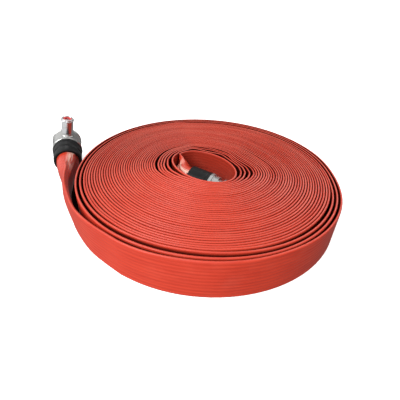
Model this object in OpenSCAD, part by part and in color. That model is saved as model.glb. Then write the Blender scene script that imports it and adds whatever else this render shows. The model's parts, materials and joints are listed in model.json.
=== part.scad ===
// A lay-flat fire hose rolled up on edge. Its outer end lies beside the roll with a
// socket half coupling, which a pull knob releases. Its inner end is in the middle
// of the roll with a spigot half coupling. Millimetres, +Z up, the floor at z = 0,
// the origin under the middle of the whole outline.

/* [Hose] */
// Width of the hose pressed flat, which is the height of the roll
flat_w = 65; // [60:1:68]
// Thickness of the hose pressed flat, two walls
flat_t = 3.8; // [3.6:0.1:4.2]
// Outer radius of the hose where a coupling holds it round
hose_r = 21.3; // [21:0.1:21.5]
// Wall of the hose where a coupling holds it round
hose_wall = 2.3; // [2:0.1:2.3]

/* [Roll] */
// Outer radius of the outermost turn
roll_r = 234.7; // [232:0.1:238]
// Outer radius of the roll inside the outermost turn
packed_r = 225.5; // [222:0.5:226]
// Angle where the outermost turn leaves the packed roll
turn_start = 120; // [100:5:140]
// Angle through which the outermost turn follows the roll
turn_sweep = 240; // [230:1:240]
// Half length of the hole in the middle
hole_a = 64; // [64:1:70]
// Half width of the hole in the middle
hole_b = 45; // [45:1:50]
// Direction of the hole's long way
hole_az = 140; // [135:1:145]

/* [Socket coupling] */
// Direction that the socket faces
socket_az = 110.5; // [109:0.5:112]
// Angle that the socket's mouth rises
socket_rise = 3.5; // [3:0.5:4]
// Turn of the coupling about its own axis
socket_roll = 9.6; // [9:0.1:10]
// Length of the rubber sleeve behind the socket body
socket_sleeve = 43; // [42:0.5:44]
// Length of the socket body in front of the sleeve
socket_len = 43.5; // [43:0.5:45]
// Radius of the socket body's rims
rim_r = 29.4; // [29.2:0.1:30]
// Radius of the socket behind its mouth
socket_r = 25; // [24.9:0.1:25.2]
// Radius of the socket's mouth
mouth_r = 25.6; // [25.5:0.1:25.9]
// Length of the mouth's plain bore
mouth_len = 8.3; // [8:0.1:8.3]

/* [Release knob] */
// Distance from the sleeve to the plunger's axis
plunger_x = 16.5; // [16:0.1:17]
// Height of the knob's rim over the coupling's axis
knob_top = 65.4; // [65:0.2:67]
// Outer radius of the knob below its bead
knob_r = 11.1; // [11.1:0.1:11.5]
// Radius of the boss that the knob slides on
boss_r = 9.3; // [9:0.1:9.3]
// Radius of the plunger's tongue
tongue_r = 5; // [4.5:0.1:5]
// Radius of the plunger's stem
stem_r = 4; // [3.9:0.1:4]

/* [Spigot coupling] */
// Direction that the spigot faces
spigot_az = -24; // [-26:1:-22]
// Angle that the spigot's nose dips
spigot_dip = 6; // [4:1:6]
// Length of the rubber sleeve behind the spigot body
spigot_sleeve = 40; // [38:1:42]
// Radius of the spigot where it enters a socket
spigot_r = 24.8; // [24.5:0.1:24.8]
// Length of the spigot in front of the sleeve
spigot_len = 30; // [30:1:32]

/* [Hidden] */

red = "#e2543c";
black = "#2b2b2e";
silver = "#c9ccd0";
steel = "#9a9da3";

// The coil's axis, and the middle of its hole, on the floor
coil_pos = [50.6, 0, 0];
hole_pos = coil_pos + [-8, 12, 0];

// The couplings' places: the middle of each body's face against its sleeve
socket_pos = [-242.9, 93.5, 33.5];
spigot_pos = [53.9, -6.2, 29.8];

// Middle of the outer end of the hose, from the roll to the socket's sleeve
tail_route = coil_pos_list([
    [-116.3, -201.4, 32.5],
    [-165.1, -165.1, 32.5],
    [-197.9, -128.5, 32.5],
    [-218.8, -97.4, 32.5],
    [-233.8, -71.5, 32.5],
    [-246, -44, 32.3],
    [-256, -15, 31.8],
    [-265, 12, 31.2],
    [-272.6, 36, 31],
    [-278.5, 53.2, 30.9],
]);
// How far each point of the tail has opened from flat (0) to round (1)
tail_open = [0, 0, 0.03, 0.12, 0.2, 0.24, 0.44, 0.74, 0.95, 1];

// Middle of the inner end of the hose, from the spigot's sleeve to the hole's wall
neck_route = coil_pos_list([
    [-33.1, 10, 34],
    [-40, 13.1, 34.7],
    [-47.5, 20.5, 34],
    [-52.5, 31, 33],
    [-54.5, 43, 32.5],
    [-55, 55.5, 32.5],
]);
neck_open = [1, 0.96, 0.82, 0.52, 0.2, 0];

// Rings between two points of a route, and sides of the swept tube
route_steps = 2;
tube_sides = 12;

// Radii and places shared by the coupling pieces
sleeve_r = 27;
sleeve_lip = 6;
// Radius and length of the bead round the socket sleeve's front end
bead_r = 28.5;
bead_len = 6;
wire_r = 0.9;
water_r = 17;
shank_r = hose_r - hose_wall - 0.1;
shank_short = 6;
seal_x = 4;
seal_len = 4;
seal_in_r = 18;
bore_end = socket_len - 1;
mouth_x = bore_end - mouth_len;

// Heights along the plunger's axis, over the coupling's axis
seat_z = 30;
collar_z = seat_z + 0.2;
collar_top = 33;
tongue_tip = 21;
gland_z = 46;
boss_top = 52;
gland_top = 54;
web_z = 56;
web_top = 59;
skirt_z = 34.4;
recess_r = 8.5;
screw_r = 2.5;
pocket_r = 7.5;

// Adds the coil's place to each point of a list
function coil_pos_list(points) = [for (p = points) p + coil_pos];

// Point at t (0 to 1) between points i and i + 1 of a smooth curve through a list
function curve_at(p, i, t) =
    let (n = len(p) - 1,
         a = p[max(i - 1, 0)], b = p[i], c = p[min(i + 1, n)], d = p[min(i + 2, n)])
    0.5 * (2 * b + (c - a) * t + (2 * a - 5 * b + 4 * c - d) * pow(t, 2)
           + (3 * b - a - 3 * c + d) * pow(t, 3));

// All points of the smooth curve
function curve(p) = [
    for (i = [0:len(p) - 2]) for (k = [0:route_steps - 1]) curve_at(p, i, k / route_steps),
    p[len(p) - 1]
];

// Direction of a list of points at point i
function heading(p, i) =
    let (d = p[min(i + 1, len(p) - 1)] - p[max(i - 1, 0)]) d / norm(d);

// One ring of the hose: a flat oval at open = 0 and a circle at open = 1
function hose_ring(centre, along, open) =
    let (side = cross(along, [0, 0, 1]) / norm(cross(along, [0, 0, 1])),
         up = cross(side, along),
         half_t = flat_t / 2 + (hose_r - flat_t / 2) * open,
         half_w = flat_w / 2 + (hose_r - flat_w / 2) * open)
    [for (k = [0:tube_sides - 1]) let (a = 360 * k / tube_sides)
        centre + half_t * cos(a) * side + half_w * sin(a) * up];

// A closed solid swept along a route, opening from flat to round as it goes
module hose_sweep(route, open) {
    path = curve(route);
    wide = curve(open);
    n = len(path);
    points = [for (i = [0:n - 1]) each hose_ring(path[i], heading(path, i), wide[i])];
    walls = [
        for (i = [0:n - 2]) for (k = [0:tube_sides - 1])
            let (j = (k + 1) % tube_sides, a = i * tube_sides, b = a + tube_sides)
            each [[a + k, b + k, b + j], [a + k, b + j, a + j]]
    ];
    first = [for (k = [0:tube_sides - 1]) k];
    last = [for (k = [tube_sides - 1:-1:0]) (n - 1) * tube_sides + k];
    polyhedron(points, concat(walls, [first, last]), convexity = 6);
}

// Radius of the packed roll a share t of the way round from the outer turn's start
function packed_radius(t) =
    let (rise_from = 0.55, s = max(0, (t - rise_from) / (1 - rise_from)))
    packed_r + (roll_r - packed_r) * s * s * (3 - 2 * s);

// Puts a shape that was revolved about Z along +X
module along_x() rotate([0, 90, 0]) children();

module at_socket() translate(socket_pos) rotate([0, -socket_rise, socket_az])
    rotate([socket_roll, 0, 0]) children();

module at_spigot() translate(spigot_pos) rotate([0, spigot_dip, spigot_az]) children();

module at_plunger() at_socket() translate([plunger_x, 0, 0]) children();

module tube_x(x0, x1, r_in, r_out) {
    along_x() translate([0, 0, x0]) difference() {
        cylinder(h = x1 - x0, r = r_out);
        translate([0, 0, -1]) cylinder(h = x1 - x0 + 2, r = r_in);
    }
}

// Saw teeth of a hose shank that ends at x = -length, as points from front to back
function shank_teeth(length) =
    let (tooth = 6.5, deep = 0.7)
    [for (i = [0:floor((length - 6) / tooth) - 1])
        each [[shank_r, -3 - tooth * i], [shank_r - deep, -3 - tooth * (i + 0.9)]]];

// Rubber sleeve: its rear lip hugs the hose, it clears the binding wire, and its
// front end is front_r in radius
module sleeve_cover(length, front_r) {
    soft = 2.5;
    lift = hose_r + 2 * wire_r + 0.1;
    along_x() rotate_extrude() polygon(concat(
        [[hose_r + 0.1, -length], [hose_r + 0.1, sleeve_lip - length], [lift, sleeve_lip + 2 - length],
         [lift, -0.1]],
        [for (a = [0:30:90]) [front_r - soft + soft * sin(a), -0.1 - soft + soft * cos(a)]],
        [[front_r, -bead_len], [sleeve_r, -bead_len - 1.5]],
        [for (a = [90:30:180]) [sleeve_r - soft + soft * sin(a), soft - length + soft * cos(a)]]
    ));
}

// Binding wire wound turn against turn round the hose on its shank
module binding_wire(length) {
    turns = floor((length - sleeve_lip - 12) / (2 * wire_r + 0.1));
    along_x() for (i = [0:turns - 1])
        translate([0, 0, -8 - i * (2 * wire_r + 0.1)]) rotate_extrude()
            translate([hose_r + wire_r + 0.02, 0]) circle(r = wire_r, $fn = 24);
}

module hose_roll() color(red) {
    steps = 120;
    linear_extrude(flat_w) difference() {
        polygon([for (i = [0:steps]) let (t = i / steps, a = turn_start - 360 * t)
            [coil_pos.x, coil_pos.y] + packed_radius(t) * [cos(a), sin(a)]]);
        translate([hole_pos.x, hole_pos.y]) rotate(hole_az)
            polygon([for (a = [0:5:355]) [hole_a * cos(a), hole_b * sin(a)]]);
    }
}

module hose_outer_turn() color(red) {
    translate(coil_pos) rotate([0, 0, turn_start - turn_sweep])
        rotate_extrude(angle = turn_sweep, $fn = 120)
            translate([roll_r - flat_t, 0]) square([flat_t, flat_w]);
}

module hose_tail() color(red) hose_sweep(tail_route, tail_open);

module hose_neck() color(red) hose_sweep(neck_route, neck_open);

module hose_end_socket() color(red)
    at_socket() tube_x(-socket_sleeve, -0.5, hose_r - hose_wall, hose_r);

module hose_end_spigot() color(red)
    at_spigot() tube_x(-spigot_sleeve, -0.5, hose_r - hose_wall, hose_r);

// The socket casting: shank, body and the boss that carries the plunger
module socket_body() color(silver) {
    back = socket_sleeve - shank_short;
    groove = 1;
    flare_r = 12;
    flare_top = skirt_z - 0.7;
    bend = flare_r - boss_r;
    at_socket() difference() {
        union() {
            along_x() rotate_extrude($fn = 96) polygon(concat(
                [[0, -back], [0, socket_len], [rim_r - 1.2, socket_len], [rim_r, socket_len - 1.2],
                 [rim_r, socket_len - 4], [rim_r - groove, socket_len - 5],
                 [rim_r - groove, 5], [rim_r, 4], [rim_r, 1], [rim_r - groove, 0]],
                [[shank_r, 0]], shank_teeth(back), [[shank_r - 1, -back]]
            ));
            translate([plunger_x, 0, 0]) rotate_extrude($fn = 64) polygon(concat(
                [[0, seal_x], [flare_r, seal_x], [flare_r, flare_top - 2 * bend]],
                [for (a = [0:15:90]) [flare_r - bend * sin(a), flare_top - 2 * bend * cos(a)]],
                [[boss_r, boss_top - 0.6], [boss_r - 0.6, boss_top], [0, boss_top]]
            ));
        }
        along_x() translate([0, 0, -back - 1]) cylinder(h = back + seal_x + 2, r = water_r);
        along_x() translate([0, 0, seal_x]) cylinder(h = socket_len, r = socket_r);
        along_x() translate([0, 0, mouth_x]) cylinder(h = socket_len, r = mouth_r);
        along_x() translate([0, 0, bore_end]) cylinder(h = 1.01, r1 = mouth_r, r2 = mouth_r + 1.01);
        translate([plunger_x, 0, seat_z - 10]) cylinder(h = 11, r = tongue_r + 0.05);
        translate([plunger_x, 0, seat_z]) cylinder(h = 30, r = pocket_r);
    }
}

module socket_seal() color(black) at_socket() tube_x(seal_x, seal_x + seal_len, seal_in_r, socket_r);

module socket_wire() color(steel) at_socket() binding_wire(socket_sleeve);

module socket_sleeve_cover() color(black) at_socket() sleeve_cover(socket_sleeve, bead_r);

// Bush screwed into the boss: it guides the stem and holds the spring down
module plunger_gland() color(steel) at_plunger() difference() {
    union() {
        translate([0, 0, gland_z]) cylinder(h = boss_top - gland_z, r = pocket_r);
        translate([0, 0, boss_top]) cylinder(h = gland_top - boss_top, r = boss_r - 0.1);
    }
    translate([0, 0, gland_z - 1]) cylinder(h = gland_top - gland_z + 2, r = stem_r + 0.05);
}

// Tongue, collar and stem in one piece; the screw's thread is inside the stem
module plunger_pin() color(steel) at_plunger() difference() {
    tip_r = 3.4;
    union() {
        translate([0, 0, tongue_tip]) cylinder(h = 2, r1 = tip_r, r2 = tongue_r);
        translate([0, 0, tongue_tip + 2]) cylinder(h = collar_z - tongue_tip - 2, r = tongue_r);
        translate([0, 0, collar_z]) cylinder(h = collar_top - collar_z, r = pocket_r - 0.2);
        translate([0, 0, collar_top]) cylinder(h = web_z - collar_top, r = stem_r);
    }
    translate([0, 0, web_z - 8]) cylinder(h = 9, r = screw_r);
}

// Compression spring between the collar and the gland
module plunger_spring() color(steel) at_plunger() {
    coil_r = 5.7;
    round_r = 0.6;
    turns = 5;
    per_turn = 14;
    sides = 8;
    low = collar_top + round_r + 0.1;
    high = gland_z - round_r - 0.1;
    n = turns * per_turn;
    points = [for (i = [0:n]) let (a = 360 * i / per_turn, z = low + (high - low) * i / n)
        for (k = [0:sides - 1]) let (b = 360 * k / sides)
            [(coil_r + round_r * cos(b)) * cos(a), (coil_r + round_r * cos(b)) * sin(a),
             z + round_r * sin(b)]];
    walls = [for (i = [0:n - 1]) for (k = [0:sides - 1])
        let (j = (k + 1) % sides, a = i * sides, b = a + sides)
        each [[a + k, b + k, b + j], [a + k, b + j, a + j]]];
    first = [for (k = [0:sides - 1]) k];
    last = [for (k = [sides - 1:-1:0]) n * sides + k];
    polyhedron(points, concat(walls, [first, last]), convexity = 10);
}

// Cup turned upside down over the boss, with a web across it and a beaded rim
module pull_knob() color(silver) at_plunger() {
    skirt_r = boss_r + 0.5;
    rim = knob_r + 0.8;
    bead = knob_r + 1.4;
    rotate_extrude($fn = 72) polygon([
        [skirt_r, skirt_z], [skirt_r, web_z], [screw_r + 0.1, web_z], [screw_r + 0.1, web_top],
        [recess_r, web_top], [recess_r, knob_top - 0.4], [recess_r + 0.4, knob_top],
        [rim - 0.9, knob_top], [rim - 0.3, knob_top - 0.3], [rim, knob_top - 0.9],
        [rim, knob_top - 1.6], [rim - 0.4, knob_top - 2.1], [rim - 0.4, knob_top - 2.5],
        [bead - 0.3, knob_top - 2.9], [bead, knob_top - 3.5], [bead, knob_top - 4.3],
        [bead - 0.3, knob_top - 4.9], [knob_r + 0.3, knob_top - 5.3], [knob_r, knob_top - 5.8],
        [knob_r, skirt_z + 0.8], [knob_r - 0.8, skirt_z],
    ]);
}

// Coloured ring pressed into the knob's recess round the screw's head
module knob_insert() color(red) at_plunger() difference() {
    notch = 3;
    translate([0, 0, web_top]) cylinder(h = 5.2, r = recess_r);
    translate([0, 0, web_top - 1]) cylinder(h = 8, r = 5.5, $fn = 6);
    for (a = [0:90:270]) rotate(a)
        translate([recess_r - 1.6, -notch / 2, web_top + 2]) cube([notch, notch, notch * 2]);
}

module knob_screw() color(steel) at_plunger() difference() {
    head_r = 4.4;
    union() {
        translate([0, 0, web_z - 7]) cylinder(h = web_top - web_z + 7, r = screw_r);
        translate([0, 0, web_top]) cylinder(h = 3.5, r = head_r);
    }
    translate([0, 0, web_top + 1.5]) cylinder(h = 3, r = 2.3, $fn = 6);
}

// The spigot casting: shank, flange, and a nose grooved for a socket's plunger
module spigot_body() color(silver) {
    back = spigot_sleeve - shank_short;
    flange_r = 27.5;
    flange = 7;
    groove_r = spigot_r - 4;
    groove_x = flange + 9.3;
    lip_x = spigot_len - 3.3;
    at_spigot() along_x() rotate_extrude($fn = 96) polygon(concat(
        [[water_r, -back], [water_r, spigot_len], [spigot_r - 1, spigot_len],
         [spigot_r, spigot_len - 1], [spigot_r, lip_x], [groove_r, lip_x],
         [groove_r, groove_x], [spigot_r, groove_x], [spigot_r, flange],
         [flange_r - 1, flange], [flange_r, flange - 1], [flange_r, 1], [flange_r - 1, 0]],
        [[shank_r, 0]], shank_teeth(back), [[shank_r - 1, -back]]
    ));
}

module spigot_wire() color(steel) at_spigot() binding_wire(spigot_sleeve);

module spigot_sleeve_cover() color(black) at_spigot() sleeve_cover(spigot_sleeve, sleeve_r);

hose_roll();
hose_outer_turn();
hose_tail();
hose_end_socket();
hose_neck();
hose_end_spigot();
socket_body();
socket_seal();
socket_wire();
socket_sleeve_cover();
plunger_gland();
plunger_pin();
plunger_spring();
pull_knob();
knob_insert();
knob_screw();
spigot_body();
spigot_wire();
spigot_sleeve_cover();
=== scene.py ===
"""Looks of a rolled flat fire hose with its two half couplings.

The hose is swept as a tube, flat along the roll and opening to round at each coupling. Lengths are
in metres and angles in degrees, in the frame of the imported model.
"""

import math

import bmesh
import bpy
import numpy as np
from mathutils import Matrix, Vector
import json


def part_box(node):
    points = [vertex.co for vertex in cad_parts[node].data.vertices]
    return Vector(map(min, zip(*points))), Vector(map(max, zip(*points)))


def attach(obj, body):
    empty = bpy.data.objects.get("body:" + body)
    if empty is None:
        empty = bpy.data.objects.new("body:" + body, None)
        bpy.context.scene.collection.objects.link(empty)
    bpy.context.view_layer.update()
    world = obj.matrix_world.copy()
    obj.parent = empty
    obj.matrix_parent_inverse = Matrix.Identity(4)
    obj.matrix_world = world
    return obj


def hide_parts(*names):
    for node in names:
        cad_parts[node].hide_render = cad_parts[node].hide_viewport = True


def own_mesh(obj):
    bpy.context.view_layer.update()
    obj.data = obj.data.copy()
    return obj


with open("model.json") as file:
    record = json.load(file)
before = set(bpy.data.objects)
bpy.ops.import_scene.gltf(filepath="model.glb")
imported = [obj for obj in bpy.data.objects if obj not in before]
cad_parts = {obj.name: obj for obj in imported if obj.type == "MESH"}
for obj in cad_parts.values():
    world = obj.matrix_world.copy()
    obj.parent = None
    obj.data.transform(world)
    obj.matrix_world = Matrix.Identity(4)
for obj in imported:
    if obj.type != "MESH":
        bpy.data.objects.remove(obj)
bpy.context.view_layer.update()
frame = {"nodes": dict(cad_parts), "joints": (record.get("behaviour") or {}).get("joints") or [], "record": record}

MM = 0.001

# ---------------------------------------------------------------------------------------------
# Sizes and routes, as in the CAD source but for the neck, which folds more sharply here
# ---------------------------------------------------------------------------------------------

turn_low, turn_high = (np.array(corner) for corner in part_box("hose_outer_turn"))
ROLL_R = (turn_high[1] - turn_low[1]) / 2
COIL = np.array([turn_high[0] - ROLL_R, 0, 0])
FLAT_W = turn_high[2] - turn_low[2]
FLAT_T = 3.8 * MM
ROUND_R = 21.3 * MM
GIRTH = 2 * (FLAT_W - FLAT_T) + math.pi * FLAT_T

# The oval hole, from the coil's axis, and how far its long side is turned from X
HOLE_CENTRE = np.array([-8.0, 12.0]) * MM
HOLE_HALF_LENGTH = 64 * MM
HOLE_HALF_WIDTH = 45 * MM
HOLE_TURNED = 140

# Middle of the tail and of the neck, from the coil's axis, and how far each point has opened from
# flat (0) to round (1)
TAIL_ROUTE = np.array([
    [-116.3, -201.4, 32.5],
    [-165.1, -165.1, 32.5],
    [-197.9, -128.5, 32.5],
    [-218.8, -97.4, 32.5],
    [-233.8, -71.5, 32.5],
    [-246, -44, 32.3],
    [-256, -15, 31.8],
    [-265, 12, 31.2],
    [-272.6, 36, 31],
    [-278.5, 53.2, 30.9],
]) * MM + COIL
TAIL_OPEN = [0, 0, 0.03, 0.12, 0.2, 0.24, 0.44, 0.74, 0.95, 1]
# How far the tail's top fold leans outwards, at some distances along it
LEAN_TRAVEL = np.array([0, 60, 100, 150, 190, 240, 310]) * MM
LEANS = np.array([0, 2, 4.5, 1.5, 0, -3, 0]) * MM
NECK_ROUTE = np.array([
    [-33.1, 10, 34],
    [-38.5, 13.3, 34.5],
    [-43.5, 21, 34],
    [-45.2, 32, 33],
    [-48.5, 44, 32.5],
    [-55, 52, 32.5],
]) * MM + COIL
NECK_OPEN = [1, 1, 0.9, 0.82, 0.46, 0]

# The wound turns run clockwise outwards, seen from above. A place along them is a turn number,
# counted from the fold where the neck meets the hole's wall.
FIRST_ANGLE = 135
LAST_TURN = 37 + 255 / 360
STEPS = 120
# The outer turns lie loose from this turn number on. They widen evenly to the tail's start over
# LOOSE_WIDENS turns, and are pushed in at the roll's right, left and front.
LOOSE_FROM = 34.4
LOOSE_WIDENS = 3.05
LOOSE_START_R = 212 * MM
RIGHT_IN = 2.6 * MM
LEFT_IN = 1.8 * MM
FRONT_IN = 9 * MM
# Places where a turn stands well clear of the one inside it: turn number, spread in turns, gap in
# millimetres
WIDE_GAPS = [(1.36, 0.05, 2.0), (1.87, 0.08, 4.5), (1.07, 0.03, 6.0), (1.19, 0.05, 6.0),
             (2.13, 0.04, 5.0), (2.22, 0.03, 3.0), (3.10, 0.04, 4.0), (4.17, 0.045, 3.0), (3.40, 0.06, 1.6),
             (4.37, 0.06, 2.2), (5.9, 0.12, 3.2), (2.85, 0.06, 2.0), (9.6, 0.1, 0.9), (13.3, 0.1, 1.0)]
# Middle line of the last tight turn: its mean radius, how oval it is, how far its front is pushed in
TIGHT_R = 211.3 * MM
TIGHT_OVAL = 1.4 * MM
TIGHT_FRONT_IN = 3.5 * MM
# How uneven the gaps between turns are, the slack at the hole's left and right, and the least gap
GAP_UNEVEN = 0.8
SLACK = 4.6 * MM
SLACK_UNEVEN = 0.3
LEAST_GAP = 0.04 * MM
# How far the first turn starts inside the hole's edge, at the neck's fold
FOLD_IN = 3.6 * MM
# Mean height of the turns above the floor
LIFT = 0.35 * MM
# Painted shadow on the floor in the narrow gap between the tail and the roll: its middle, turn and half size
TAIL_GAP = tuple(np.array([-245, -18, 0]) * MM + COIL)
TAIL_GAP_TURNED = math.radians(25)
TAIL_GAP_HALF = (12 * MM, 72 * MM, 1)
# Turn numbers where the detailed inner and outer pieces of the hose meet the plain middle one
INNER_CUT = 2.0
OUTER_CUT = 37 + 15 / 360


def smooth(x):
    """0 below 0, 1 above 1, and an even rise between."""
    x = np.clip(x, 0, 1)
    return x * x * (3 - 2 * x)


def spline(points, steps):
    """A smooth curve through points, with that many steps between two of them."""
    p = np.atleast_2d(np.asarray(points, float).T).T
    n = len(p) - 1
    rows = []
    for i in range(n):
        a, b, c, d = p[max(i - 1, 0)], p[i], p[i + 1], p[min(i + 2, n)]
        for k in range(steps):
            t = k / steps
            rows.append(0.5 * (2 * b + (c - a) * t + (2 * a - 5 * b + 4 * c - d) * t**2
                               + (3 * b - a - 3 * c + d) * t**3))
    rows.append(p[n])
    return np.array(rows)


def waves(x, seed, longest, count=5):
    """A smooth random curve between about -1 and 1 that repeats nowhere near."""
    rng = np.random.default_rng(seed)
    total = np.zeros_like(np.asarray(x, float))
    for k in range(count):
        height = rng.uniform(0.5, 1) / (k + 1)
        phase = rng.uniform(0, 7)
        total += height * np.sin(2 * math.pi * x / (longest * 0.62**k) + phase)
    return total / 1.6


def hole_radius(angle):
    """Distance from the coil's axis to the oval hole's edge, in one direction."""
    turned = math.radians(HOLE_TURNED)
    way = np.array([math.cos(math.radians(angle)), math.sin(math.radians(angle))])
    axes = np.array([[math.cos(turned), math.sin(turned)], [-math.sin(turned), math.cos(turned)]])
    scale = np.array([1 / HOLE_HALF_LENGTH, 1 / HOLE_HALF_WIDTH])
    d, c = scale * (axes @ way), scale * (axes @ HOLE_CENTRE)
    return (d @ c + math.sqrt((d @ c) ** 2 - (d @ d) * (c @ c - 1))) / (d @ d)


def near_angle(angle, middle, spread):
    """1 where an angle is at the middle, falling to 0 past the spread."""
    off = (angle - middle + 180) % 360 - 180
    return np.exp(-((off / spread) ** 2))


def loose_radius(turn, angle):
    """Distance from the coil's axis to the middle of a loose outer turn."""
    end_r = np.linalg.norm((TAIL_ROUTE[0] - COIL)[:2])
    radius = LOOSE_START_R + (end_r - LOOSE_START_R) * min((turn - LOOSE_FROM) / LOOSE_WIDENS, 1)
    radius -= RIGHT_IN * near_angle(angle, 0, 16) + LEFT_IN * near_angle(angle, 182, 30)
    return radius - FRONT_IN * near_angle(angle, -100, 38) * (1 - smooth((turn - 35.7) / 1.9))


def wound_radii():
    """Turn numbers and the hose's distance from the coil's axis at each.

    Each turn lies on the one inside it, with a small uneven gap. The first follows the oval hole,
    and the gaps share out the room that is left up to the loose outer turns."""
    turns = np.arange(0, round(LAST_TURN * STEPS) + 1) / STEPS
    uneven = waves(turns, 3, 0.31)
    radii = np.zeros(len(turns))
    for i, turn in enumerate(turns):
        angle = FIRST_ANGLE - 360 * turn
        if turn < 1:
            radii[i] = hole_radius(angle) + FLAT_T / 2 - FOLD_IN * (1 - smooth(turn / 0.07))
            continue
        inside = radii[i - STEPS]
        oval = TIGHT_OVAL * math.cos(math.radians(2 * angle))
        full = TIGHT_R + oval - TIGHT_FRONT_IN * near_angle(angle, -90, 50)
        room = (full - inside) / (max(LOOSE_FROM - turn, 0) + 1) - FLAT_T
        slack = (near_angle(angle, 184, 46) + near_angle(angle, 2, 30)) * math.exp((1 - turn) / 2.3)
        gap = room * (1 + GAP_UNEVEN * uneven[i]) + SLACK * slack * (1 + SLACK_UNEVEN * uneven[i])
        for middle, spread, extra in WIDE_GAPS:
            gap += extra * MM * math.exp(-(((turn - middle) / spread) ** 2))
        radii[i] = inside + FLAT_T + gap
        if turn > LOOSE_FROM:
            radii[i] += (loose_radius(turn, angle) - radii[i]) * smooth((turn - LOOSE_FROM) / 0.3)
        radii[i] = max(radii[i], inside + FLAT_T + LEAST_GAP)
    return turns, radii


def wound_path():
    """Turn numbers and the middle line of the wound turns."""
    turns, radii = wound_radii()
    angles = np.radians(FIRST_ANGLE - 360 * turns)
    lift = LIFT * (1 + waves(turns, 8, 0.9))
    path = np.column_stack([radii * np.cos(angles), radii * np.sin(angles), FLAT_W / 2 + lift])
    return turns, path + COIL


# ---------------------------------------------------------------------------------------------
# Meshes
# ---------------------------------------------------------------------------------------------

# Edges bent by more than this stay crisp
SHARP_ANGLE = math.radians(60)


def add_mesh(name, points, faces, mat):
    """A new smooth object from points and faces, with its faces turned outwards."""
    mesh = bpy.data.meshes.new(name)
    mesh.from_pydata([tuple(p) for p in points], [], [tuple(int(i) for i in f) for f in faces])
    work = bmesh.new()
    work.from_mesh(mesh)
    bmesh.ops.recalc_face_normals(work, faces=work.faces)
    for edge in work.edges:
        edge.smooth = edge.calc_face_angle(0) < SHARP_ANGLE
    work.to_mesh(mesh)
    work.free()
    mesh.shade_smooth()
    mesh.materials.append(mat)
    piece = bpy.data.objects.new(name, mesh)
    bpy.context.scene.collection.objects.link(piece)
    return piece


def flat_section(per_side, per_fold, rib):
    """The flat hose's outline: how far round each point is (0 to 1), and its (side, up) place.

    It starts at the middle of the top fold and goes round by the outer side. rib is the height of
    the cover's ridges."""
    half = FLAT_W / 2 - FLAT_T / 2
    fold = FLAT_T / 2
    points = []
    for k in range(per_fold + 1):
        a = math.pi / 2 * (k / per_fold)
        points.append((fold * math.sin(a), half + fold * math.cos(a)))
    for k in range(1, per_side):
        z = half * (1 - 2 * k / per_side)
        points.append((fold + rib * rib_height(z), z))
    for k in range(2 * per_fold + 1):
        a = math.pi / 2 * (1 + k / per_fold)
        points.append((fold * math.sin(a), -half + fold * math.cos(a)))
    for k in range(1, per_side):
        z = -half * (1 - 2 * k / per_side)
        points.append((-fold - rib * rib_height(z), z))
    for k in range(per_fold):
        a = math.pi / 2 * (3 + k / per_fold)
        points.append((fold * math.sin(a), half + fold * math.cos(a)))
    points = np.array(points)
    gaps = np.linalg.norm(np.diff(np.vstack([points, points[:1]]), axis=0), axis=1)
    return np.concatenate([[0], np.cumsum(gaps)[:-1]]) / gaps.sum(), points


RIB_PITCH = FLAT_W / 11
RIB_HEIGHT = 0.16 * MM


def rib_height(z):
    """1 on a ridge of the cover and 0 between two."""
    return 0.5 + 0.5 * math.cos(2 * math.pi * z / RIB_PITCH)


def round_section(shares):
    """Points on the open hose's circle, that far round it."""
    a = 2 * math.pi * np.asarray(shares)
    return ROUND_R * np.column_stack([np.sin(a), np.cos(a)])


# How much of the painted shade between turns there is on a turn's outer side, and on the hole's
# wall
OUTER_SHADE = 0.85
HOLE_SHADE = 0.45


def near_share(shares, middle, spread):
    """1 on the outline at one share of the way round, falling to 0 past the spread."""
    off = (shares - middle + 0.5) % 1 - 0.5
    return np.exp(-((off / spread) ** 4))


def shade_share(turn, outer_side, shares, inner_shade):
    """How much painted shade each point of one ring gets. Both sides of a turn that lies between two others get
    it.
    """
    if math.isnan(turn):
        return np.where(outer_side, 0, inner_shade * smooth((0.91 - shares) / 0.06))
    outer = OUTER_SHADE * (1 - smooth((turn - LAST_TURN + 1) / 0.04))
    inner = max(smooth((turn - 0.96) / 0.04), HOLE_SHADE)
    return np.where(outer_side, outer, inner)


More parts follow.
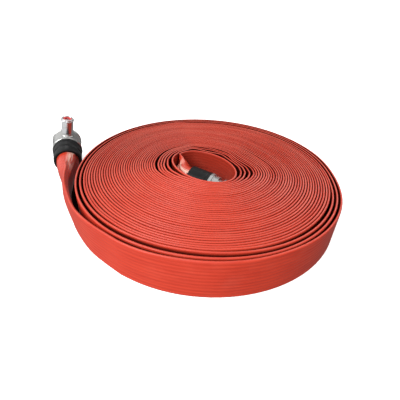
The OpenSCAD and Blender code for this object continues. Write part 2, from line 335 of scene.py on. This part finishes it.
def sweep_hose(name, path, mat, opened, section, turn, leans=None, creases=None, gloss=(0, 1),
               inner_shade=0):
    """A closed tube along a path, with the attributes that its cover's material reads.

    At each point, opened says how round it is, turn is its turn number, or nan where both sides
    are in the open, and leans is how far its top is pushed outwards. creases(shares, i) moves
    its outline in or out. gloss is the (share, spread) of the outline where the cover is stretched
    and shiny once it has opened, and gets painted sheen streaks. inner_shade is how much painted
    shade the inner side gets where it's in the open."""
    shares, flat = section
    open_points = round_section(shares)
    along = np.gradient(path, axis=0)
    along /= np.linalg.norm(along, axis=1)[:, None]
    count = len(shares)
    outer_side = flat[:, 0] > 0
    around = np.degrees(np.arctan2(path[:, 1] - COIL[1], path[:, 0] - COIL[0]))
    front = near_angle(around, -90, 60)
    rings, painted_shade = [], []
    for i, (middle, way) in enumerate(zip(path, along, strict=True)):
        # The roll runs clockwise, so its outer side is on the left of the way along it
        side = np.cross([0, 0, 1], way)
        side /= np.linalg.norm(side)
        up = np.cross(way, side)
        outline = flat * (1 - opened[i]) + open_points * opened[i]
        if creases is not None:
            outline = outline * (1 + creases(shares, i))[:, None]
        ring = middle + outline[:, :1] * side + outline[:, 1:] * up
        if leans is not None:
            ring += side * (leans[i] * (outline[:, 1:] / FLAT_W + 0.5) ** 2)
        rings.append(ring)
        painted_shade.append(shade_share(turn[i], outer_side, shares, inner_shade))
    points = np.vstack(rings)
    faces = []
    for i in range(len(path) - 1):
        a, b = i * count, (i + 1) * count
        for k in range(count):
            j = (k + 1) % count
            faces.append((a + k, a + j, b + j, b + k))
    faces.append(tuple(range(count - 1, -1, -1)))
    faces.append(tuple(range(len(points) - count, len(points))))
    piece = add_mesh(name, points, faces, mat)
    travel = np.concatenate([[0], np.cumsum(np.linalg.norm(np.diff(path, axis=0), axis=1))])
    from_fold = np.minimum(np.minimum(shares, 1 - shares), abs(shares - 0.5)) * GIRTH
    layers = {
        "from_fold": np.tile(from_fold, len(path)),
        "travel": np.repeat(travel, count),
        "opened": np.repeat(np.asarray(opened, float), count),
        # How much painted shade each point gets, between the turns and on the tail's inner side
        "painted_shade": np.concatenate(painted_shade),
        # Where the open cover is glossy and gets painted sheen streaks
        "shiny": np.outer(smooth((opened - 0.35) / 0.4), near_share(shares, *gloss)).ravel(),
        # How far the painted shade is held back from the fold on a turn's outer side, most at the front
        "lit_outer": np.outer(0.25 + 0.75 * front, outer_side).ravel(),
        "front": np.repeat(front, count),
    }
    for label, values in layers.items():
        layer = piece.data.attributes.new(label, "FLOAT", "POINT")
        layer.data.foreach_set("value", values.astype(np.float32))
    return piece


def revolve(name, profile, place, mat, sides=96):
    """A closed ring turned about place's X axis, from (x, radius) points."""
    points = []
    for k in range(sides):
        a = 2 * math.pi * k / sides
        for x, r in profile:
            points.append(place @ Vector((x, r * math.cos(a), r * math.sin(a))))
    n = len(profile)
    faces = []
    for k in range(sides):
        b = (k + 1) % sides
        for i in range(n):
            j = (i + 1) % n
            faces.append((k * n + i, b * n + i, b * n + j, k * n + j))
    return add_mesh(name, points, faces, mat)


# ---------------------------------------------------------------------------------------------
# Materials
# ---------------------------------------------------------------------------------------------


class Nodes:
    """A node material being built: node() adds a node and joins its inputs."""

    def __init__(self, name):
        self.mat = bpy.data.materials.new(name)
        self.mat.use_nodes = True
        self.tree = self.mat.node_tree
        self.shader = self.tree.nodes["Principled BSDF"]

    def node(self, kind, inputs=None, **settings):
        node = self.tree.nodes.new(kind)
        for key, value in settings.items():
            setattr(node, key, value)
        for key, value in (inputs or {}).items():
            self.put(value, node.inputs[key])
        return node

    def put(self, value, socket):
        if isinstance(value, bpy.types.NodeSocket):
            self.tree.links.new(value, socket)
        else:
            socket.default_value = value

    def math(self, operation, *values, clamp=False):
        node = self.node("ShaderNodeMath", operation=operation, use_clamp=clamp)
        for socket, value in zip(node.inputs, values, strict=False):
            self.put(value, socket)
        return node.outputs[0]

    def noise(self, scale, detail=3, rough=0.5, vector=None):
        inputs = {"Scale": scale, "Detail": detail, "Roughness": rough}
        if vector is not None:
            inputs["Vector"] = vector
        return self.node("ShaderNodeTexNoise", inputs).outputs["Fac"]

    def vector(self, x, y=0.0):
        """A vector made of its X and Y."""
        return self.node("ShaderNodeCombineXYZ", {"X": x, "Y": y}).outputs[0]

    def distance(self, middle, turned=0.0, scale=(1, 1, 1)):
        """Distance from a middle, in a frame turned about Z and scaled."""
        inputs = {"Vector": self.place(), "Location": middle, "Rotation": (0, 0, turned), "Scale": scale}
        inside = self.node("ShaderNodeMapping", inputs, vector_type="TEXTURE").outputs[0]
        return self.node("ShaderNodeVectorMath", {0: inside}, operation="LENGTH").outputs["Value"]

    def place(self):
        return self.node("ShaderNodeTexCoord").outputs["Object"]

    def attribute(self, name):
        return self.node("ShaderNodeAttribute", attribute_name=name).outputs["Fac"]

    def ramp(self, value, low, high, out_low=0.0, out_high=1.0):
        node = self.node(
            "ShaderNodeMapRange",
            {"Value": value, "From Min": low, "From Max": high, "To Min": out_low, "To Max": out_high},
            interpolation_type="SMOOTHSTEP",
        )
        return node.outputs[0]

    def mix(self, amount, first, second):
        node = self.node("ShaderNodeMix", data_type="RGBA")
        self.put(amount, node.inputs[0])
        self.put(first, node.inputs[6])
        self.put(second, node.inputs[7])
        return node.outputs[2]

    def bump(self, height, distance, strength=1.0, below=None):
        inputs = {"Height": height, "Distance": distance, "Strength": strength}
        if below is not None:
            inputs["Normal"] = below
        return self.node("ShaderNodeBump", inputs).outputs[0]

    def finish(self, **inputs):
        for key, value in inputs.items():
            self.put(value, self.shader.inputs[key.replace("_", " ")])
        return self.mat


RED = (0.57, 0.048, 0.023, 1)
RED_DEEP = (0.47, 0.034, 0.017, 1)
# Paler rubbed rubber, also used as painted sheen on the fold tops
RED_WORN_AND_SHEEN = (0.64, 0.118, 0.078, 1)
# Painted sheen: pale streaks where the open hose shines
RED_PAINTED_SHEEN = (0.85, 0.50, 0.40, 1)
# Painted shade between the turns, on the hole's wall and on the tail's inner side
RED_PAINTED_SHADE = (0.035, 0.003, 0.002, 1)


def hose_rubber():
    """Extruded red rubber cover: ridges along it, faint streaks, paler folds where it rubs with
    painted sheen on the fold tops, painted sheen streaks where the open hose shines, and painted
    shade between the turns and on the tail's inner side."""
    m = Nodes("hose_rubber")
    from_fold, travel = m.attribute("from_fold"), m.attribute("travel")
    opened, painted_shade, shiny = m.attribute("opened"), m.attribute("painted_shade"), m.attribute("shiny")
    along = m.vector(from_fold, m.math("MULTIPLY", travel, 0.06))
    streaks = m.noise(260, 3, 0.6, along)
    blotches = m.noise(22, 4, 0.6, m.place())
    scuffs = m.noise(310, 5, 0.7, m.place())
    fold = m.ramp(from_fold, 0.3 * MM, 2.6 * MM, 1.0, 0.0)
    tone = m.noise(1, 1, 0.5, m.vector(m.math("MULTIPLY", travel, 4)))
    rubbed = m.math("MULTIPLY", m.ramp(scuffs, 0.36, 0.64, 0.75, 1.0), m.ramp(tone, 0.38, 0.62, 0.1, 1.0))
    # Fold tops go paler where rubbed, with painted sheen on them that is fainter at the roll's front
    worn_and_sheen = m.math("MULTIPLY", m.math("MULTIPLY", fold, rubbed), m.ramp(m.attribute("front"), 0, 1, 1, 0.35))
    base = m.mix(m.ramp(streaks, 0.35, 0.7, 0.0, 0.8), RED, RED_DEEP)
    base = m.mix(m.ramp(blotches, 0.45, 0.8, 0.0, 0.2), base, RED_WORN_AND_SHEEN)
    base = m.mix(m.math("MULTIPLY", worn_and_sheen, 0.75), base, RED_WORN_AND_SHEEN)
    # Painted sheen: pale streaks along the open hose's glossy band
    sheen_along = m.vector(from_fold, m.math("MULTIPLY", travel, 0.09))
    pale = m.math("MULTIPLY", shiny, m.ramp(m.noise(190, 3, 0.6, sheen_along), 0.41, 0.55, 0.0, 1.0))
    base = m.mix(pale, base, RED_PAINTED_SHEEN)
    # On a turn's outer side, most at the front, the painted shade starts deeper below the fold, where light
    # reaches into the gap
    lit_outer = m.attribute("lit_outer")
    depth_from = m.math("MULTIPLY_ADD", lit_outer, 2.4 * MM, 0.6 * MM)
    depth_to = m.math("MULTIPLY_ADD", lit_outer, 5.6 * MM, 2.0 * MM)
    # Painted shade: darker deeper below the fold, between the turns
    dark = m.math("MULTIPLY", painted_shade, m.ramp(from_fold, depth_from, depth_to))
    colour = m.mix(dark, base, RED_PAINTED_SHADE)
    offset = m.math("SUBTRACT", from_fold, GIRTH / 4)
    ridges = m.math("COSINE", m.math("MULTIPLY", offset, 2 * math.pi / RIB_PITCH))
    fine = m.math("COSINE", m.math("MULTIPLY", offset, 6 * math.pi / RIB_PITCH))
    height = m.math("ADD", ridges, m.math("MULTIPLY", fine, 0.3))
    normal = m.bump(height, 0.07 * MM, 0.9)
    normal = m.bump(m.noise(900, 4, 0.6, m.place()), 0.05 * MM, 0.6, normal)
    matt = m.math("SUBTRACT", m.ramp(blotches, 0.3, 0.8, 0.38, 0.50), m.math("MULTIPLY", fold, 0.1))
    rough = m.math("SUBTRACT", matt, m.math("MULTIPLY", opened, 0.2), clamp=True)
    polish = m.math("MULTIPLY_ADD", fold, 0.14, 0.21)
    shine = m.math("MULTIPLY", polish, m.math("SUBTRACT", 1, m.math("MULTIPLY", dark, 1.2), clamp=True))
    return m.finish(Base_Color=colour, Roughness=rough, Normal=normal, Specular_IOR_Level=shine,
                    Coat_Weight=m.math("MULTIPLY", shiny, m.math("SUBTRACT", 0.8, dark), clamp=True),
                    Coat_Roughness=0.12)


def black_rubber():
    """Moulded black rubber with a soft sheen and a dusty bloom."""
    m = Nodes("black_rubber")
    dust = m.noise(60, 5, 0.65, m.place())
    colour = m.mix(m.ramp(dust, 0.4, 0.75, 0.0, 0.6), (0.004, 0.004, 0.0043, 1), (0.012, 0.012, 0.0125, 1))
    rough = m.ramp(dust, 0.3, 0.75, 0.36, 0.52)
    normal = m.bump(m.noise(700, 4, 0.6, m.place()), 0.08 * MM, 0.7)
    return m.finish(Base_Color=colour, Roughness=rough, Normal=normal, Specular_IOR_Level=0.2)


def polished_casting():
    """Cast aluminium polished bright, with fine turning marks and a few dull patches."""
    m = Nodes("polished_casting")
    patches = m.noise(45, 4, 0.6, m.place())
    marks = m.noise(1400, 3, 0.6, m.place())
    colour = m.mix(m.ramp(patches, 0.4, 0.8, 0.0, 0.6), (0.46, 0.46, 0.45, 1), (0.34, 0.34, 0.33, 1))
    rough = m.ramp(patches, 0.35, 0.8, 0.13, 0.3)
    normal = m.bump(marks, 0.03 * MM, 0.5)
    return m.finish(Base_Color=colour, Metallic=0.65, Roughness=rough, Normal=normal)


def chrome():
    """Bright plated metal with faint smears."""
    m = Nodes("chrome")
    smears = m.noise(80, 4, 0.6, m.place())
    colour = m.mix(m.ramp(smears, 0.4, 0.8), (0.72, 0.72, 0.73, 1), (0.56, 0.56, 0.57, 1))
    rough = m.ramp(smears, 0.35, 0.8, 0.17, 0.3)
    normal = m.bump(m.noise(900, 3, 0.5, m.place()), 0.02 * MM, 0.5)
    return m.finish(Base_Color=colour, Metallic=1.0, Roughness=rough, Normal=normal)


def steel():
    """Plain bright steel, drawn or turned."""
    m = Nodes("steel")
    grain = m.noise(500, 4, 0.6, m.place())
    colour = m.mix(m.ramp(grain, 0.35, 0.75), (0.55, 0.55, 0.57, 1), (0.4, 0.4, 0.42, 1))
    rough = m.ramp(grain, 0.3, 0.8, 0.24, 0.4)
    return m.finish(Base_Color=colour, Metallic=1.0, Roughness=rough,
                    Normal=m.bump(grain, 0.03 * MM, 0.6))


def red_plastic():
    """Glossy moulded red plastic."""
    m = Nodes("red_plastic")
    cloud = m.noise(90, 3, 0.5, m.place())
    colour = m.mix(m.ramp(cloud, 0.3, 0.8), (0.74, 0.055, 0.05, 1), (0.60, 0.035, 0.032, 1))
    rough = m.ramp(cloud, 0.3, 0.8, 0.25, 0.36)
    return m.finish(Base_Color=colour, Roughness=rough,
                    Normal=m.bump(m.noise(1200, 3, 0.5, m.place()), 0.02 * MM, 0.5))


def floor_white():
    """White studio floor, lit from behind, with painted shadow only under the roll's edge and in the gap by the
    tail.
    """
    m = Nodes("floor_white")
    cloud = m.noise(3, 2, 0.5, m.place())
    # Painted shadow: the floor goes dark in the gap by the tail and just inside the roll's edge
    beside_gap = m.ramp(m.distance(TAIL_GAP, TAIL_GAP_TURNED, TAIL_GAP_HALF), 0.75, 1.15)
    beside_roll = m.ramp(m.distance(tuple(COIL)), ROLL_R - 6 * MM, ROLL_R - 3 * MM)
    clear = m.math("MULTIPLY", beside_gap, beside_roll)
    white = m.mix(cloud, (0.93, 0.93, 0.93, 1), (0.95, 0.95, 0.95, 1))
    colour = m.mix(clear, (0.012, 0.006, 0.005, 1), white)
    glow = m.math("MULTIPLY", clear, 0.55)
    return m.finish(Base_Color=colour, Roughness=0.6, Specular_IOR_Level=m.math("MULTIPLY", clear, 0.5),
                    Emission_Color=(1, 1, 1, 1), Emission_Strength=glow)


# ---------------------------------------------------------------------------------------------
# Camera
# ---------------------------------------------------------------------------------------------


CAMERA_FROM_COIL = Vector((-0.0106, -0.5217, 0.3662))
CAMERA_LENS = 29.84
CAMERA_DOWN = 35.47
CAMERA_ROLL = 3.53


def make_camera():
    """The camera stands in front of the roll, looks down at it, and is turned a little."""
    data = bpy.data.cameras.new("camera")
    data.lens = CAMERA_LENS
    data.sensor_width = 36
    camera = bpy.data.objects.new("camera", data)
    bpy.context.scene.collection.objects.link(camera)
    tilt = Matrix.Rotation(math.radians(90 - CAMERA_DOWN), 4, "X")
    roll = Matrix.Rotation(math.radians(CAMERA_ROLL), 4, "Z")
    camera.matrix_world = Matrix.Translation(Vector(COIL) + CAMERA_FROM_COIL) @ tilt @ roll
    bpy.context.scene.camera = camera


# ---------------------------------------------------------------------------------------------
# The hose
# ---------------------------------------------------------------------------------------------


# Wrinkles of the neck and of the tail: (share of the way round, depth)
NECK_CREASES = [(0.02, 0.05), (0.09, -0.12), (0.16, 0.06), (0.25, -0.1),
                (0.8, 0.06), (0.87, -0.12), (0.94, 0.06)]
TAIL_CREASES = [(0.8, -0.06), (0.85, 0.04), (0.89, -0.07), (0.93, 0.05),
                (0.97, -0.07), (0.01, 0.05), (0.1, -0.03), (0.4, -0.04)]
# Where the stretched cover shines and gets painted sheen streaks: (share of the way round, spread)
NECK_GLOSS = (0.07, 0.07)
TAIL_GLOSS = (0.925, 0.055)
# How much painted shade the tail's inner side gets, where it faces the roll
TAIL_INNER_SHADE = 0.72
# The outermost turn's top leans inwards at the front, between these turn numbers
FRONT_LEAN = -3 * MM
FRONT_LEAN_FROM = 37.48
FRONT_LEAN_TO = 37.64


def hose_creases(opened, folds, width, held):
    """Wrinkles that run along the hose where it opens. They fade out where it is flat, and to the
    share held where a coupling holds it round."""

    def crease(shares, i):
        amount = 4 * opened[i] * (1 - (1 - held) * opened[i])
        total = np.zeros(len(shares))
        for k, (middle, depth) in enumerate(folds):
            off = (shares - middle - 0.012 * math.sin(i / 5 + k) + 0.5) % 1 - 0.5
            total += depth * math.cos(i / 9 + 2 * k) ** 2 * np.exp(-((off / width) ** 2))
        return total * amount

    return crease


def make_hose(mat):
    """The whole hose in three pieces that meet ring on ring: neck with inner turns, the wound
    middle, and the outermost turn with the tail."""
    turns, path = wound_path()
    fine = flat_section(66, 5, RIB_HEIGHT)
    plain = flat_section(2, 4, 0)
    in_open = math.nan

    # Neck: from the spigot's sleeve to the fold, then straight into the first turn
    neck = spline(NECK_ROUTE, 6)[:-1]
    neck_open = np.clip(spline(NECK_OPEN, 6)[:-1, 0], 0, 1)
    inner = turns <= INNER_CUT
    opened = np.concatenate([neck_open, np.zeros(inner.sum())])
    creases = hose_creases(opened, NECK_CREASES, 0.024, 0.1)
    first = sweep_hose("hose_inner_turns", np.vstack([neck, path[inner]]), mat, opened, fine,
                       np.concatenate([np.full(len(neck), in_open), turns[inner]]),
                       creases=creases, gloss=NECK_GLOSS)

    middle = (turns >= INNER_CUT) & (turns <= OUTER_CUT + 1e-6)
    second = sweep_hose("hose_wound_turns", path[middle], mat, np.zeros(middle.sum()), plain, turns[middle])

    tail = spline(TAIL_ROUTE, 8)
    tail_open = np.clip(spline(TAIL_OPEN, 8)[:, 0], 0, 1)
    outer = turns[:-1] >= OUTER_CUT - 1e-6
    outer_path = np.vstack([path[:-1][outer], tail])
    opened = np.concatenate([np.zeros(outer.sum()), tail_open])
    travel = np.concatenate([[0], np.cumsum(np.linalg.norm(np.diff(tail, axis=0), axis=1))])
    outer_turns = turns[:-1][outer]
    inward = smooth((outer_turns - FRONT_LEAN_FROM) / 0.08) - smooth((outer_turns - FRONT_LEAN_TO) / 0.06)
    lean = np.concatenate([FRONT_LEAN * inward, np.interp(travel, LEAN_TRAVEL, LEANS)])
    creases = hose_creases(opened, TAIL_CREASES, 0.014, 0)
    third = sweep_hose("hose_outer_end", outer_path, mat, opened, fine,
                       np.concatenate([outer_turns, np.full(len(tail), in_open)]),
                       leans=lean, creases=creases, gloss=TAIL_GLOSS, inner_shade=TAIL_INNER_SHADE)
    return first, second, third, outer_path


# ---------------------------------------------------------------------------------------------
# The couplings
# ---------------------------------------------------------------------------------------------


# Outlines of the moulded sleeves, as (distance behind the coupling's face, radius) in millimetres
SOCKET_SLEEVE = [
    (0.2, 21.6), (0.2, 26.6), (0.9, 28.1), (2.4, 28.5), (5.2, 28.5), (6.4, 28.1), (7.2, 27.2),
    (8.2, 27.5), (12, 27.6), (20, 27.4), (22.6, 26.6), (24.4, 25.7), (26.2, 26.3), (28.5, 26.9),
    (36, 26.9), (41, 26.6), (42.6, 25.6), (43, 24), (43, 22.2), (42.4, 21.5),
]
SPIGOT_SLEEVE = [
    (0.2, 21.6), (0.2, 25.6), (1, 26.8), (2.5, 27), (5, 27), (6, 26.4), (7, 26.9), (20, 26.9),
    (34, 26.9), (38, 26.8), (39.6, 25.8), (40, 24), (40, 22.2), (39.4, 21.5),
]


def make_sleeve(name, outline, place, mat):
    """A moulded rubber sleeve behind a coupling's face."""
    profile = spline(outline, 4) * MM * [-1, 1]
    return revolve(name, [tuple(p) for p in profile], place, mat)


# Plunger's spring: half the wire's thickness, turns, and how far it has risen along them
SPRING_WIRE_R = 0.6 * MM
SPRING_TURNS = 5
SPRING_ALONG = [0, 0.2, 0.8, 1]
SPRING_RISE = [0, 0.1, 0.9, 1]


def make_spring(place, mat):
    """The plunger's spring, with closed ends, in the room that the CAD one has."""
    cad = frame["nodes"]["plunger_spring"].data
    local = np.array([place.inverted() @ v.co for v in cad.vertices])
    low, high = local.min(axis=0), local.max(axis=0)
    middle_x = (low[0] + high[0]) / 2
    coil_r = (high[0] - low[0]) / 2 - SPRING_WIRE_R
    steps, sides = 32 * SPRING_TURNS, 12
    points = []
    for i in range(steps + 1):
        a = 2 * math.pi * SPRING_TURNS * i / steps
        share = np.interp(i / steps, SPRING_ALONG, SPRING_RISE)
        z = low[2] + SPRING_WIRE_R + (high[2] - low[2] - 2 * SPRING_WIRE_R) * share
        for k in range(sides):
            b = 2 * math.pi * k / sides
            r = coil_r + SPRING_WIRE_R * math.cos(b)
            up = z + SPRING_WIRE_R * math.sin(b)
            points.append(place @ Vector((middle_x + r * math.cos(a), r * math.sin(a), up)))
    faces = [tuple(range(sides)), tuple(range(len(points) - sides, len(points)))]
    for i in range(steps):
        for k in range(sides):
            j = (k + 1) % sides
            faces.append((i * sides + k, i * sides + j, (i + 1) * sides + j, (i + 1) * sides + k))
    spring = add_mesh("spring_coils", points, faces, mat)
    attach(spring, "hose")
    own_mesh(spring)
    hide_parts("plunger_spring")


def axes_matrix(origin, x_axis, z_hint):
    """A place with its X along x_axis and its Z as near z_hint as it can be."""
    x = Vector(x_axis).normalized()
    y = Vector(z_hint).cross(x).normalized()
    z = x.cross(y)
    return Matrix.Translation(origin) @ Matrix((x, y, z)).transposed().to_4x4()


# ---------------------------------------------------------------------------------------------
# Light
# ---------------------------------------------------------------------------------------------


def area_light(name, place, target, size, power):
    """A round lamp that faces a target."""
    data = bpy.data.lights.new(name, "AREA")
    data.shape = "DISK"
    data.size = size
    data.energy = power
    lamp = bpy.data.objects.new(name, data)
    lamp.location = place
    lamp.rotation_euler = (Vector(target) - Vector(place)).to_track_quat("-Z", "Y").to_euler()
    bpy.context.scene.collection.objects.link(lamp)
    return lamp


# The light comes from the front left: its direction, and the surroundings' brightness away from it
# and towards it, with how far round (as a cosine) each begins
LIGHT_FROM = (-0.59, -0.43, 0.69)
DIM_SIDE = (0.22, -0.08)
BRIGHT_SIDE = (0.89, 0.17)
SUN_STRENGTH = 2.6
SUN_WIDTH = 45
FLOOR_HALF = 9


def make_world():
    """Soft white light that is brightest at the front left, so that bright metal has shape."""
    world = bpy.data.worlds.new("studio")
    world.use_nodes = True
    tree = world.node_tree
    where = tree.nodes.new("ShaderNodeTexCoord").outputs["Generated"]
    facing = tree.nodes.new("ShaderNodeVectorMath")
    facing.operation = "DOT_PRODUCT"
    facing.inputs[1].default_value = Vector(LIGHT_FROM).normalized()
    tree.links.new(where, facing.inputs[0])
    grade = tree.nodes.new("ShaderNodeMapRange")
    grade.interpolation_type = "SMOOTHSTEP"
    for key, value in (("From Min", DIM_SIDE[1]), ("From Max", BRIGHT_SIDE[1]),
                       ("To Min", DIM_SIDE[0]), ("To Max", BRIGHT_SIDE[0])):
        grade.inputs[key].default_value = value
    tree.links.new(facing.outputs["Value"], grade.inputs["Value"])
    tree.links.new(grade.outputs[0], tree.nodes["Background"].inputs["Strength"])
    tree.nodes["Background"].inputs["Color"].default_value = (1, 1, 1, 1)
    bpy.context.scene.world = world


def make_sun(towards, strength, angle):
    """A broad soft sun that shines from one direction."""
    data = bpy.data.lights.new("sun", "SUN")
    data.energy = strength
    data.angle = math.radians(angle)
    lamp = bpy.data.objects.new("sun", data)
    lamp.rotation_euler = Vector(towards).to_track_quat("Z", "Y").to_euler()
    bpy.context.scene.collection.objects.link(lamp)


def make_studio():
    """World, sun, two lamps and a white floor. The right lamp only shows in glossy surfaces."""
    bpy.context.scene.view_settings.view_transform = "Standard"
    make_world()
    make_sun(LIGHT_FROM, SUN_STRENGTH, SUN_WIDTH)
    area_light("front", (-0.05, -0.9, 0.35), (0.05, -0.15, 0.03), 0.5, 1.4)
    panel = area_light("right_panel", (0.6, 0.5, 0.75), (-0.25, 0.12, 0.05), 1.0, 5.5)
    panel.visible_diffuse = False
    corners = [(x * FLOOR_HALF, y * FLOOR_HALF, 0) for x, y in ((-1, -1), (1, -1), (1, 1), (-1, 1))]
    floor = add_mesh("floor", corners, [(0, 1, 2, 3)], floor_white())
    floor.visible_diffuse = False
    floor.visible_glossy = False


def set_material(node, mat):
    """The material of one CAD node."""
    mesh = frame["nodes"][node].data
    mesh.materials.clear()
    mesh.materials.append(mat)


make_camera()
hose_mat = hose_rubber()
rubber_mat = black_rubber()
inner_turns, wound_turns, outer_end, outer_path = make_hose(hose_mat)

for piece in (inner_turns, wound_turns, outer_end):
    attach(piece, "hose")
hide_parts("hose_neck", "hose_end_spigot")
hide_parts("hose_roll")
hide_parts("hose_outer_turn", "hose_tail", "hose_end_socket")

mount = {m["name"]: m for m in frame["record"]["mounts"]}
pull = frame["joints"][0]

# Distance from each coupling's face to its mouth
SOCKET_MOUTH = 38.35 * MM
SPIGOT_MOUTH = 30 * MM

socket_x = Vector(mount["socket"]["axis"])
socket_place = axes_matrix(Vector(mount["socket"]["pos_m"]) - socket_x * SOCKET_MOUTH, socket_x, pull["axis"])
spigot_x = Vector(mount["spigot"]["axis"])
spigot_place = axes_matrix(Vector(mount["spigot"]["pos_m"]) - spigot_x * SPIGOT_MOUTH, spigot_x, (0, 0, 1))

socket_sleeve = make_sleeve("socket_sleeve", SOCKET_SLEEVE, socket_place, rubber_mat)
spigot_sleeve = make_sleeve("spigot_sleeve", SPIGOT_SLEEVE, spigot_place, rubber_mat)
for piece, node in ((socket_sleeve, "socket_sleeve_cover"), (spigot_sleeve, "spigot_sleeve_cover")):
    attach(piece, "hose")
    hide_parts(node)

steel_mat = steel()
make_spring(socket_place, steel_mat)

finishes = {
    polished_casting(): ["socket_body", "spigot_body"],
    chrome(): ["pull_knob"],
    red_plastic(): ["knob_insert"],
    rubber_mat: ["socket_seal"],
    steel_mat: ["socket_wire", "spigot_wire", "plunger_gland", "plunger_pin", "knob_screw"],
}
for mat, nodes in finishes.items():
    for node in nodes:
        set_material(node, mat)

make_studio()
